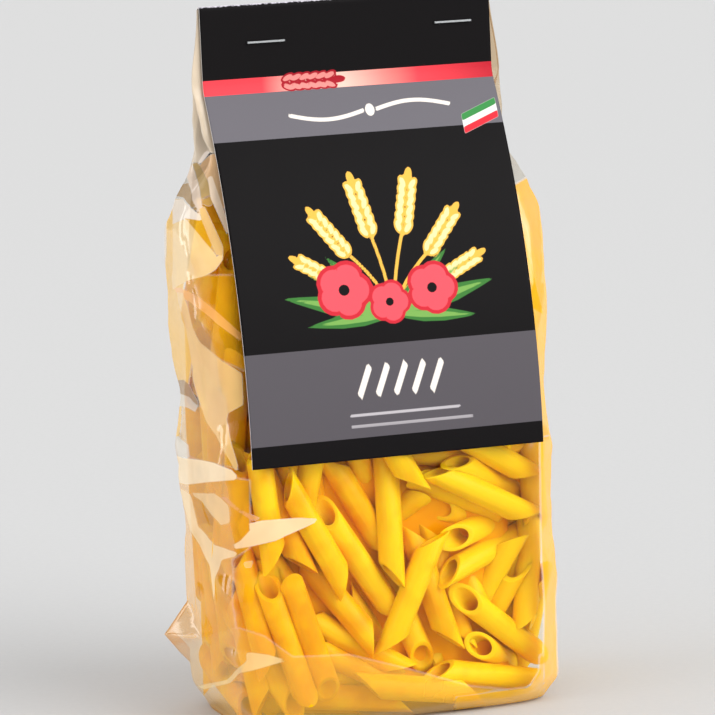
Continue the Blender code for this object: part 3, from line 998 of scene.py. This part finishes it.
def make_film(ends):
    """The clear bag: one skin over the filling. Its faces point inwards and its neck isn't closed."""
    heights = np.concatenate(
        [
            np.linspace(0, BASE_ROUND, ROUND_ROWS, endpoint=False),
            np.linspace(BASE_ROUND, NECK_TOP, FILM_ROWS + 1 - ROUND_ROWS),
        ]
    )
    turn, height = np.meshgrid(even_turns(FILM_COLUMNS), heights)
    base = film_points(turn, height)
    face = np.cross(np.gradient(base, axis=1), np.gradient(base, axis=0))
    face /= np.maximum(np.linalg.norm(face, axis=-1, keepdims=True), TINY)
    shift, stack = film_relief(base, height, ends)
    shift[:, -1] = shift[:, 0]
    points = base + face * shift[..., None]
    points[..., 2] = np.maximum(points[..., 2], 0.0)
    # Painted reflections, highlights and shade, fixed to the film where the camera sees their outlines.
    layers = [paint_film_light(base, face, shapes) for shapes in FILM_PAINTED_LIGHT]

    bm = bmesh.new()
    bmesh.ops.create_grid(bm, x_segments=FILM_COLUMNS, y_segments=FILM_ROWS, size=0.5)
    slots = [new_layer(bm, "film_%d" % index) for index in range(len(layers))]
    stacked = bm.verts.layers.float.new("stack")
    for vert in bm.verts:
        column = round((vert.co.x + 0.5) * FILM_COLUMNS)
        row = round((vert.co.y + 0.5) * FILM_ROWS)
        vert.co = points[row, column]
        for (tint, reach), (tinted, reached) in zip(layers, slots):
            vert[tinted] = tint[row, column]
            vert[reached] = reach[row, column]
        vert[stacked] = stack[row, column]
    close_skin(bm, FILM_WELD)
    return add_object("film_bag", bm, polypropylene_film())


def zigzag(value):
    """Straight flanks between sharp ridges, from -0.5 to 0.5."""
    return 2 * np.abs(value % 1.0 - 0.5) - 0.5


def film_relief(base, height, ends):
    """Shift out of the film, and how far its layers are stacked in the neck."""
    x, y = base[..., 0], base[..., 1]
    along = np.linalg.norm(np.diff(base, axis=1), axis=-1)
    along = np.concatenate([np.zeros((len(base), 1)), np.cumsum(along, axis=1)], axis=1)
    warp = WARP * np.sin(height / WARP_HIGH + along / WARP_LONG)
    crumple = np.zeros_like(height)
    for index, (angle, spacing, depth) in enumerate(CREASES):
        way = math.radians(angle)
        across = (along + warp) * math.cos(way) + (height + warp) * math.sin(way)
        crumple += depth * MM * zigzag(across / (spacing * MM) + CREASE_SHIFT * index)
    left, right = ease(*LEFT_LOOSE, x), ease(*RIGHT_LOOSE, x)
    loose = LEAST_LOOSE + (1 - LEAST_LOOSE) * left + RIGHT_SHARE * right
    inside = CARD_WIDTH / 2 - CARD_EDGE
    covered = 1 - ease(inside - EDGE_FADE, inside, np.abs(x))
    covered = covered * ease(CARD_LOW - LOW_FADE, CARD_LOW, height)
    neck = ease(CREASE_TO - NECK_BELOW, CREASE_TO + NECK_ABOVE, height)
    pleat = PLEAT_DEPTH * zigzag(x / PLEAT_SPACING + PLEAT_SWAY * np.sin(height / PLEAT_WAVE))
    shift = np.clip(crumple, DEEPEST, HIGHEST) * loose * (1 - neck) + pleat * neck
    shift -= film_sag(base, ends) * (1 - left) * (1 - RIGHT_SHARE * right)
    shift *= 1 - covered
    ear = 1 - np.abs(y - EAR_BACK) / EAR_DEEP - np.abs(height - EAR_UP) / EAR_HIGH
    shift += EAR_OUT * np.maximum(0.0, ear) * left
    shift *= ease(0.0, BASE_ROUND, height)
    return shift, ease(CREASE_FROM - STACK_BELOW, CREASE_TO, height)


def paint_film_light(points, face, shapes):
    """Tint and strength of the painted reflections, highlights and shade at each point of the film, and its
    reach inside (pixels).
    """
    across, down = seen_at(points.reshape(-1, 3))
    tint, reach = painted(across, down, shapes)
    turned_away = face.reshape(-1, 3) @ np.array(camera_axes()[2]) > FACET_EDGE
    reach[turned_away] = -FAR_OFF
    return tint.reshape(*points.shape[:2], 4), reach.reshape(points.shape[:2])


def film_sag(base, ends):
    """How far the film sinks between the pieces that it is drawn over."""
    flat = base.reshape(-1, 3)
    nearest = np.full(len(flat), 1.0)
    for start, end in ends:
        line = end - start
        share = np.clip((flat - start) @ line / (line @ line), 0, 1)
        away = np.linalg.norm(flat - start - share[:, None] * line, axis=1)
        nearest = np.minimum(nearest, away)
    gap = nearest - PENNE_ACROSS / 2 - FILM_SKIN
    sag = MOST_SAG * (1 - np.exp(-np.maximum(gap, 0) / SAG_REACH))
    return sag.reshape(base.shape[:2])


# Header card


def card_line():
    """Middle of the whole card as (y, z) points, front edge to back edge."""
    along = distances(HANGING)
    out, height = HANGING.T
    front, back = (np.linspace(0, along[-1], rows + 1) for rows in (FRONT_ROWS, BACK_ROWS))
    line = [(-np.interp(down, along, out), np.interp(down, along, height)) for down in front[::-1]]
    for index in range(1, FOLD_STEPS):
        angle = math.pi * index / FOLD_STEPS
        line.append((-FOLD_RADIUS * math.cos(angle), FOLD_BOTTOM + FOLD_RADIUS * math.sin(angle)))
    line += [(np.interp(down, along, out), np.interp(down, along, height)) for down in back]
    return np.array(line)


def make_card():
    """The folded header card, with its distance down from the fold as UV."""
    line = card_line()
    along = distances(line)
    down = (along[FRONT_ROWS + FOLD_STEPS // 2] - along) / MM
    rows = len(line) - 1
    bm = bmesh.new()
    bmesh.ops.create_grid(bm, x_segments=CARD_COLUMNS, y_segments=rows, size=0.5)
    print_map = bm.loops.layers.uv.new("card")
    places = [(vert.co.x + 0.5, round((vert.co.y + 0.5) * rows)) for vert in bm.verts]
    across = np.array([share * CARD_WIDTH / MM for share, _ in places])
    below = down[[row for _, row in places]]
    layers = [
        (painted(across, below, shapes), new_layer(bm, "print_%d" % index))
        for index, shapes in enumerate(printed_shapes())
    ]
    for face in bm.faces:
        face.smooth = True
        for loop in face.loops:
            share, row = places[loop.vert.index]
            loop[print_map].uv = (share * CARD_WIDTH / MM, down[row])
    for vert, (share, row) in zip(bm.verts, places):
        for (ink, reach), (inked, reached) in layers:
            vert[inked] = ink[vert.index]
            vert[reached] = reach[vert.index]
        vert.co = ((share - 0.5) * CARD_WIDTH, *line[row])
    card = add_object("header_card_print", bm, coated_board(), board_core())
    wall = card.modifiers.new("thickness", "SOLIDIFY")
    wall.thickness = CARD_THICK
    wall.offset = 0.0
    wall.use_even_offset = True
    wall.material_offset_rim = 1
    return card


def heading(turn):
    """Unit steps ahead and aside for this turn clockwise from upright."""
    angle = math.radians(turn)
    return (math.sin(angle), -math.cos(angle)), (math.cos(angle), math.sin(angle))


def step_from(root, turn, ahead, aside=0.0):
    """Point this far ahead and aside of a root, for a turn from upright."""
    way, side = heading(turn)
    return tuple(root[i] + way[i] * ahead + side[i] * aside for i in (0, 1))


def oval(middle, wide, high, turn=0.0, corners=14):
    """Corners of an oval whose high axis is turned clockwise from upright."""
    ways = [2 * math.pi * index / corners for index in range(corners)]
    points = [(wide / 2 * math.cos(way), high / 2 * math.sin(way)) for way in ways]
    return tuple(step_from(middle, turn, -down, across) for across, down in points)


def leaf(root, turn, long, wide):
    """Corners of a pointed leaf that grows from its root."""
    points = []
    for side, shares in ((1, (0.0, 0.15, 0.35, 0.6, 0.85, 1.0)), (-1, (0.85, 0.6, 0.35, 0.15))):
        for share in shares:
            out = side * wide / 2 * math.sin(math.pi * share**0.8)
            points.append(step_from(root, turn, long * share, out))
    return tuple(points)


def line_shape(points, wide):
    """Corners of a thin line through these points."""
    spots = np.array(points, float)
    along = np.gradient(spots, axis=0)
    along /= np.linalg.norm(along, axis=1, keepdims=True)
    aside = np.stack([-along[:, 1], along[:, 0]], axis=1) * wide / 2
    return tuple(map(tuple, np.concatenate([spots + aside, (spots - aside)[::-1]])))


def wheat_ear(root, turn, size, kernels):
    """Outlines of an ear of wheat: its kernels and, smaller, their lit sides."""
    whole, lit = [], []
    for index in range(kernels):
        for side in (-1, 1):
            spot = step_from(root, turn, 2.5 * size * index, 1.35 * size * side)
            whole.append(oval(spot, 2.5 * size, 4.6 * size, turn + 24 * side))
            lit.append(oval(spot, 1.5 * size, 3.3 * size, turn + 24 * side))
    tip = step_from(root, turn, 2.5 * size * kernels)
    whole.append(oval(tip, 2.2 * size, 4.6 * size, turn))
    return whole, lit


def poppy(middle, across):
    """Outlines of a round flower: five petals and, smaller, their lit middles."""
    whole, lit = [], []
    for index in range(5):
        turn = 72 * index + 20
        spot = step_from(middle, turn, across * 0.28)
        whole.append(oval(spot, across * 0.66, across * 0.6, turn))
        lit.append(oval(spot, across * 0.5, across * 0.44, turn))
    return whole, lit


def printed_shapes():
    """Everything printed over the bands, in layers, each over the last."""
    layers = [[] for _ in range(PRINT_LAYERS)]
    under, over, petals, lit_petals, hearts = layers

    def put(layer, code, outlines):
        layer.extend((1.0, code, outline) for outline in outlines)

    for turn, long, wide in LEAVES:
        put(under, LEAF_DARK, [leaf(SHEAF_FOOT, turn, long, wide)])
        put(over, LEAF_LIGHT, [leaf(SHEAF_FOOT, turn, long * 0.92, wide * 0.45)])
    foot, low = SHEAF_FOOT
    for turn, long, size in SHEAF_EARS:
        bend = 0.35 * math.sin(math.radians(turn)) * long
        neck = step_from(SHEAF_FOOT, turn, long * 0.62)
        stem = [
            (mix(foot, neck[0], share) - bend * share * (1 - share), mix(low, neck[1], share))
            for share in np.linspace(0, 1, 7)
        ]
        put(under, WHEAT_GOLD, [line_shape(stem, 1.1)])
        whole, lit = wheat_ear(neck, turn * 1.05, size, KERNELS)
        put(under, WHEAT_GOLD, whole)
        put(over, WHEAT_PALE, lit)
    for x, y, across in POPPIES:
        whole, lit = poppy((x, y), 2 * across)
        put(petals, PETAL_DARK, whole)
        put(lit_petals, PETAL_LIGHT, lit)
        put(hearts, INK_BLACK, [oval((x, y), 0.44 * across, 0.44 * across)])
    whole, lit = wheat_ear(SMALL_EAR, 90, 1.15, KERNELS)
    put(under, EAR_RED, whole)
    put(over, EAR_LIGHT, lit)
    steps = np.linspace(0, SWASH_LONG, 14)
    for left, way in SWASH_HALVES:
        rises = way * SWASH_RISE * np.sin(math.pi * steps / SWASH_LONG)
        put(under, INK_CREAM, [line_shape(np.stack([left + steps, SWASH_MIDDLE[1] + rises], axis=1), 1.4)])
    put(over, INK_CREAM, [oval(SWASH_MIDDLE, 3.2, 4.6)])
    for layer, (code, low, high) in zip((under, over, over), RIBBON):
        put(layer, code, [((86, 42.6 + low), (98.8, 37.4 + low), (98.8, 37.4 + high), (86, 42.6 + high))])
    for index in range(STRIPS):
        left = STRIP_LEFT + STRIP_STEP * index
        put(under, INK_CREAM, [((left, 133), (left + 1.4, 135), (left + 5.6, 125), (left + 4.2, 123))])
    for top, left, right in RULES:
        low = top + RULE_WIDE
        put(under, RULE_GRAY, [((left, top), (right, top), (right, low), (left, low))])
    return layers


def coated_board():
    """Coated folding box board, offset printed: even colour under a soft sheen."""
    made, tree = new_material("coated_box_board")
    place = add_node(tree, "UVMap", {"uv_map": "card"})
    split = add_node(tree, "SeparateXYZ", inputs={0: place})
    down = add_node(tree, "Math", {"operation": "ABSOLUTE"}, {0: split.outputs["Y"]})
    share = add_node(tree, "Math", {"operation": "DIVIDE"}, {0: down, 1: CARD_DROP / MM})
    stops = [(start * MM / CARD_DROP, code) for start, code in BANDS]
    bands = add_node(tree, "ValToRGB", inputs={0: share}, stops=stops)
    bands.color_ramp.interpolation = "CONSTANT"
    sideways = add_node(tree, "Math", {"operation": "DIVIDE"}, {0: split.outputs["X"], 1: CARD_WIDTH / MM})
    fade = add_node(tree, "ValToRGB", inputs={0: sideways}, stops=STRIPE_FADE)
    middle, half = (STRIPE_TOP + STRIPE_LOW) / 2, (STRIPE_LOW - STRIPE_TOP) / 2
    in_stripe = add_node(tree, "Math", {"operation": "COMPARE"}, {0: down, 1: middle, 2: half})
    printed = blend(tree, "RGBA", in_stripe, bands, fade)
    for index in range(PRINT_LAYERS):
        shape, _, inside = read_layer(tree, "print_%d" % index, INK_BLUR)
        printed = blend(tree, "RGBA", inside, printed, shape)
    colour = blend(tree, "RGBA", worn_fold(tree, place, down), printed, linear(BARE_FIBRE))
    fibre = add_node(tree, "TexNoise", inputs={"Vector": place, "Scale": 3.0, "Detail": 3.0})
    waves = add_node(tree, "TexNoise", inputs={"Vector": place, "Scale": 0.05, "Detail": 1.0})
    grain = add_node(tree, "Bump", inputs={"Height": fibre, "Strength": 0.12, "Distance": 0.05 * MM})
    bump = add_node(
        tree, "Bump", inputs={"Height": waves, "Strength": 0.12, "Distance": 1.2 * MM, "Normal": grain}
    )
    rough = add_node(tree, "MapRange", inputs={"Value": fibre, "To Min": 0.36, "To Max": 0.5})
    shader = add_node(
        tree,
        "BsdfPrincipled",
        inputs={
            "Base Color": colour,
            "Roughness": rough,
            "IOR": 1.5,
            "Specular IOR Level": 0.06,
            "Normal": bump,
        },
    )
    put_out(tree, shader)
    return made


def worn_fold(tree, place, down):
    """Share of bare white fibre: the fold's crest, rubbed through in places."""
    speck = add_node(tree, "TexNoise", inputs={"Vector": place, "Scale": 0.9, "Detail": 4.0})
    near = add_node(
        tree,
        "MapRange",
        inputs={"Value": down, "From Min": 0.2, "From Max": 1.6, "To Min": 0.75, "To Max": 0.0},
    )
    rubbed = add_node(tree, "Math", {"operation": "MULTIPLY"}, {0: near, 1: speck})
    sharp = add_node(tree, "MapRange", inputs={"Value": rubbed, "From Min": 0.18, "From Max": 0.34})
    return sharp


def board_core():
    """Cut edge of the board: bare white fibre."""
    made, tree = new_material("board_cut_edge")
    place = add_node(tree, "TexCoord")
    fibre = add_node(
        tree, "TexNoise", inputs={"Vector": place.outputs["Object"], "Scale": 1 / (0.4 * MM), "Detail": 3.0}
    )
    colour = add_node(tree, "ValToRGB", inputs={0: fibre}, stops=[(0.3, "#CFC9C6"), (0.7, "#ECE8E6")])
    shader = add_node(tree, "BsdfPrincipled", inputs={"Base Color": colour, "Roughness": 0.85})
    put_out(tree, shader)
    return made


def durum_pasta():
    """Dried durum wheat pasta, extruded: amber yellow, paler on the right as painted light, smooth, faint
    lines lengthwise.
    """
    made, tree = new_material("durum_wheat_pasta")
    skin = add_node(tree, "UVMap", {"uv_map": "quill"})
    drawn = add_node(tree, "Mapping", inputs={"Vector": skin, "Scale": (1.6, 0.05, 1.0)})
    lines = add_node(tree, "TexNoise", inputs={"Vector": drawn, "Scale": 1.0, "Detail": 2.0})
    tone_and_lit_side = add_node(tree, "Attribute", {"attribute_name": "tone_and_lit_side"})
    place = add_node(tree, "TexCoord")
    blotch = add_node(
        tree, "TexNoise", inputs={"Vector": place.outputs["Object"], "Scale": 1 / (9 * MM), "Detail": 2.0}
    )
    # The tone holds each piece's random tone and painted light, paler to the right.
    spread = add_node(
        tree, "Math", {"operation": "MULTIPLY_ADD"}, {0: tone_and_lit_side.outputs["Fac"], 1: 0.6, 2: blotch}
    )
    colour = add_node(
        tree,
        "ValToRGB",
        inputs={0: spread},
        stops=[(0.35, "#ECA000"), (0.62, "#FBB600"), (0.88, "#FFCC0C")],
    )
    bump = add_node(tree, "Bump", inputs={"Height": lines, "Strength": 0.5, "Distance": 0.12 * MM})
    shader = add_node(
        tree,
        "BsdfPrincipled",
        inputs={
            "Base Color": colour,
            "Roughness": 0.4,
            "IOR": 1.5,
            "Specular IOR Level": 0.12,
            "Subsurface Weight": 0.55,
            "Subsurface Radius": (1.0, 0.75, 0.1),
            "Subsurface Scale": 2.2 * MM,
            "Normal": bump,
        },
    )
    put_out(tree, shader)
    return made


def shaded_pasta():
    """Depth of the heap, where light has gone through much pasta: deep amber."""
    made, tree = new_material("pasta_in_depth")
    place = add_node(tree, "TexCoord")
    blotch = add_node(
        tree, "TexNoise", inputs={"Vector": place.outputs["Object"], "Scale": 1 / (11 * MM), "Detail": 2.0}
    )
    colour = add_node(tree, "ValToRGB", inputs={0: blotch}, stops=[(0.35, "#EEA000"), (0.7, "#FAB800")])
    shader = add_node(
        tree, "BsdfPrincipled", inputs={"Base Color": colour, "Roughness": 0.9, "Specular IOR Level": 0.05}
    )
    put_out(tree, shader)
    return made


def polypropylene_film():
    """Clear oriented polypropylene film: glossy, crisp folds, and a diffuse layer of painted reflections,
    highlights and fold shade.
    """
    made, tree = new_material("clear_polypropylene_film")
    stack = add_node(tree, "Attribute", {"attribute_name": "stack"})
    shade, strength = linear("#FFFFFF"), 0.0
    # Painted light: each layer paints reflections, highlights, fold shade or lit pasta onto the film.
    for index in range(len(FILM_PAINTED_LIGHT)):
        blur = PAINTED_FACET_BLUR if index else PAINTED_PATCH_BLUR
        facet, alpha, inside = read_layer(tree, "film_%d" % index, blur)
        shade = blend(tree, "RGBA", inside, shade, facet)
        strength = blend(tree, "FLOAT", inside, strength, alpha)
    place = add_node(tree, "TexCoord")
    cloud = add_node(
        tree, "TexNoise", inputs={"Vector": place.outputs["Object"], "Scale": 1 / (14 * MM), "Detail": 2.0}
    )
    tint = blend(tree, "RGBA", stack.outputs["Fac"], linear("#FFFDF8"), linear("#F1E3CF"))
    clear = add_node(tree, "BsdfTransparent", inputs={"Color": tint})
    painted_light = add_node(tree, "BsdfDiffuse", inputs={"Color": shade, "Roughness": 0.0})
    uneven = add_node(
        tree,
        "MapRange",
        inputs={"Value": cloud, "From Min": 0.3, "From Max": 0.7, "To Min": 0.82, "To Max": 1.0},
    )
    painted_share = add_node(tree, "Math", {"operation": "MULTIPLY"}, {0: strength, 1: uneven})
    body = add_node(tree, "MixShader", inputs={0: painted_share, 1: clear, 2: painted_light})
    gloss = add_node(tree, "BsdfGlossy", inputs={"Color": linear("#FFFFFF"), "Roughness": 0.09})
    mirror = add_node(tree, "Fresnel", inputs={"IOR": 1.3})
    both = add_node(tree, "Math", {"operation": "MINIMUM"}, {0: mirror, 1: 0.16})
    skin = add_node(tree, "MixShader", inputs={0: both, 1: body, 2: gloss})
    put_out(tree, skin)
    return made


def drawn_steel():
    """Drawn and galvanised staple wire: bright, with fine lines."""
    made, tree = new_material("galvanised_staple_wire")
    place = add_node(tree, "TexCoord")
    lines = add_node(
        tree, "TexNoise", inputs={"Vector": place.outputs["Object"], "Scale": 1 / (0.3 * MM), "Detail": 2.0}
    )
    rough = add_node(tree, "MapRange", inputs={"Value": lines, "To Min": 0.22, "To Max": 0.4})
    shader = add_node(
        tree,
        "BsdfPrincipled",
        inputs={"Base Color": linear("#D5D8DA"), "Metallic": 1.0, "Roughness": rough},
    )
    put_out(tree, shader)
    return made


# Stage


def studio_floor():
    made, tree = new_material("matt_studio_paper")
    place = add_node(tree, "TexCoord")
    grain = add_node(
        tree, "TexNoise", inputs={"Vector": place.outputs["Object"], "Scale": 1 / (2.5 * MM), "Detail": 2.0}
    )
    colour = add_node(tree, "ValToRGB", inputs={0: grain}, stops=[(0.3, "#C4C4C4"), (0.7, "#C6C6C6")])
    shader = add_node(
        tree, "BsdfPrincipled", inputs={"Base Color": colour, "Roughness": 0.9, "Specular IOR Level": 0.1}
    )
    put_out(tree, shader)
    return made


def make_stage():
    bm = bmesh.new()
    bmesh.ops.create_grid(bm, x_segments=1, y_segments=1, size=FLOOR_HALF)
    bmesh.ops.translate(bm, verts=bm.verts[:], vec=(0, 0, -FLOOR_DROP))
    floor = add_object("floor", bm, studio_floor())
    world = bpy.data.worlds.new("studio")
    bpy.context.scene.world = world
    world.use_nodes = True
    tree = world.node_tree
    ray = add_node(tree, "LightPath")
    matt = add_node(
        tree,
        "MapRange",
        inputs={"Value": ray.outputs["Is Diffuse Ray"], "To Min": 1.0, "To Max": ROOM_LIGHT},
    )
    dim = add_node(
        tree,
        "MapRange",
        inputs={"Value": ray.outputs["Is Glossy Ray"], "To Min": matt, "To Max": MIRRORED_ROOM},
    )
    background = tree.nodes["Background"]
    background.inputs["Color"].default_value = linear(BACKDROP)
    tree.links.new(dim.outputs[0], background.inputs["Strength"])


def add_sun(name, turn, rise, strength, spread):
    data = bpy.data.lights.new(name, "SUN")
    data.energy = strength
    data.angle = math.radians(spread)
    turn, rise = math.radians(turn), math.radians(rise)
    away = Vector((math.sin(turn) * math.cos(rise), -math.cos(turn) * math.cos(rise), math.sin(rise)))
    put_in_scene(name, data).matrix_world = away.to_track_quat("Z", "Y").to_matrix().to_4x4()


def add_softbox(name, place, size, power):
    """A large lit panel that only shows as a reflection."""
    data = bpy.data.lights.new(name, "AREA")
    data.shape = "RECTANGLE"
    data.size, data.size_y = size
    data.energy = power
    made = put_in_scene(name, data)
    place = Vector(place)
    turned = (place - CAMERA_AIM).to_track_quat("Z", "Y").to_matrix().to_4x4()
    made.matrix_world = Matrix.Translation(place) @ turned
    made.visible_diffuse = False
    made.visible_camera = False


def make_lights():
    for sun in SUNS:
        add_sun(*sun)
    for panel in PANELS:
        add_softbox(*panel)
    bpy.context.scene.view_settings.view_transform = "Standard"


def corners(box):
    return [[float(value) for value in corner] for corner in box]


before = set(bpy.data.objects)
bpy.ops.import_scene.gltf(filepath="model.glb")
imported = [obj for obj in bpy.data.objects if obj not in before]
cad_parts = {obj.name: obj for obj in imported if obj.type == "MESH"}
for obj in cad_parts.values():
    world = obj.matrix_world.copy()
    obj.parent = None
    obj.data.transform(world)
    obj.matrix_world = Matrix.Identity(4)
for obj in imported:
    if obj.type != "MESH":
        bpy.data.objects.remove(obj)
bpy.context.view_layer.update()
make_camera()
filling = settled_filling()
front_count = len(FRONT_PENNE)
rolls = [piece[3] for piece in FRONT_PENNE]
placed = make_penne("penne_front", filling[:front_count], rolls, FINE_SIDES, FRONT_SEED)
packet_piece(placed, "film_and_pasta")
no_rolls = [None] * (len(filling) - front_count)
loose = make_penne("penne_loose", filling[front_count:], no_rolls, PLAIN_SIDES, LOOSE_SEED)
packet_piece(loose, "film_and_pasta")
packet_piece(make_core(), "film_and_pasta")
packet_piece(make_film(filling), "film_and_pasta", "bag")
packet_piece(make_card(), "printed_card", "header_card")
for name in ("staple_left", "staple_right"):
    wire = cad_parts[name]
    wire.data.materials.clear()
    wire.data.materials.append(drawn_steel())
make_stage()
make_lights()
